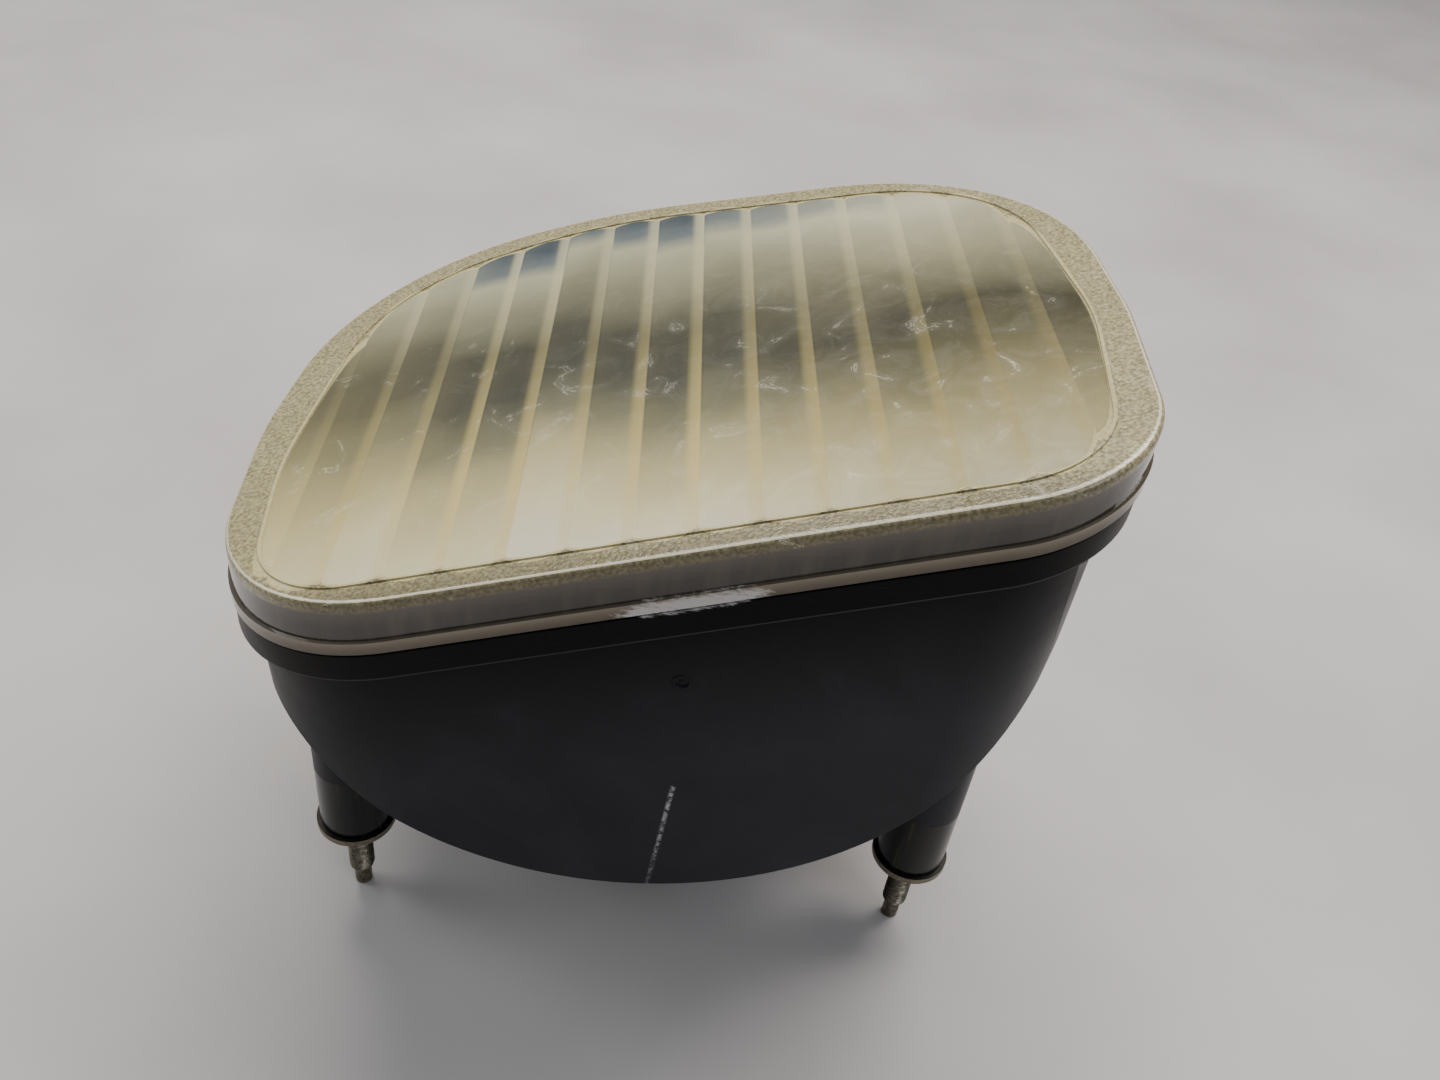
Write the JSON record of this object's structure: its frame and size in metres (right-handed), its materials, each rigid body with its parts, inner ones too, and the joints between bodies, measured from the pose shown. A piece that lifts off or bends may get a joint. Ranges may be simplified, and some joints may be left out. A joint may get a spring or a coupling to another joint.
{
  "type": "vehicle fog lamp",
  "caption": "Swept front fog lamp: fluted amber-aged lens bonded to a deep black moulded housing that stands on threaded mounting studs with spacer sleeves; rear bulb cap turns off.",
  "frame": {"origin": "midway between the two lower mounting studs, on the seating plane of their washers", "axes": "+Z runs forward out of the lens along the optical axis, +X along the lens's lower edge towards the side that stands taller, +Y towards the top of the lamp as it sits in the vehicle; the studs point to -Z"},
  "size_m": [0.1701, 0.1385, 0.1631],
  "materials": {
    "aged_polycarbonate": "moulded polycarbonate, yellowed and slightly hazy",
    "black_plastic": "moulded black ABS, satin",
    "gloss_black": "moulded acetal, glossy",
    "adhesive": "black sealant bead",
    "black_rubber": "moulded rubber",
    "aluminised": "vacuum aluminised plastic",
    "zinc_steel": "zinc plated, dulled",
    "dark_washer": "dark phosphated steel",
    "spring_steel": "bright spring wire",
    "bulb_metal": "pressed sheet, satin",
    "quartz": "clear quartz",
    "tungsten": "drawn tungsten",
    "ceramic": "fired steatite",
    "lead_insulation": "silicone lead sleeve",
    "brass": "stamped brass"
  },
  "bodies": {
    "lamp": {"bulb_base": "bulb_metal", "bulb_filament": "tungsten", "bulb_glass": "quartz", "bulb_insulator": "ceramic", "bulb_lead": "lead_insulation", "cap_seal": "black_rubber", "connector_gasket": "black_rubber", "connector_pin_earth": "brass", "connector_pin_feed": "brass", "connector_screws": "zinc_steel", "connector_socket": "black_plastic", "earth_lead": "lead_insulation", "earth_tab": "brass", "glare_shield": "bulb_metal", "housing": "black_plastic", "lead_terminal": "gloss_black", "lens": "aged_polycarbonate", "lens_seal": "adhesive", "reflector": "aluminised", "reflector_screws": "zinc_steel", "sleeve_left": "gloss_black", "sleeve_right": "gloss_black", "sleeve_upper": "gloss_black", "stud_left": "zinc_steel", "stud_right": "zinc_steel", "stud_upper": "zinc_steel", "supply_lead": "lead_insulation", "vent_elbow": "black_rubber", "washer_left": "dark_washer", "washer_right": "dark_washer", "washer_upper": "dark_washer"},
    "cap": {"rear_cap": "black_plastic"},
    "clip": {"bulb_clip": "spring_steel"}
  },
  "joints": [
    {"name": "cap_turn", "type": "hinge", "parent": "lamp", "child": "cap", "pos_m": [-0.0035, 0.03, -0.009], "axis": [0, 0, -1], "range_deg": [0, 45]},
    {"name": "clip_release", "type": "hinge", "parent": "lamp", "child": "clip", "pos_m": [-0.0205, 0.03, 0.00425], "axis": [0, 1, 0], "range_deg": [0, 11]}
  ]
}
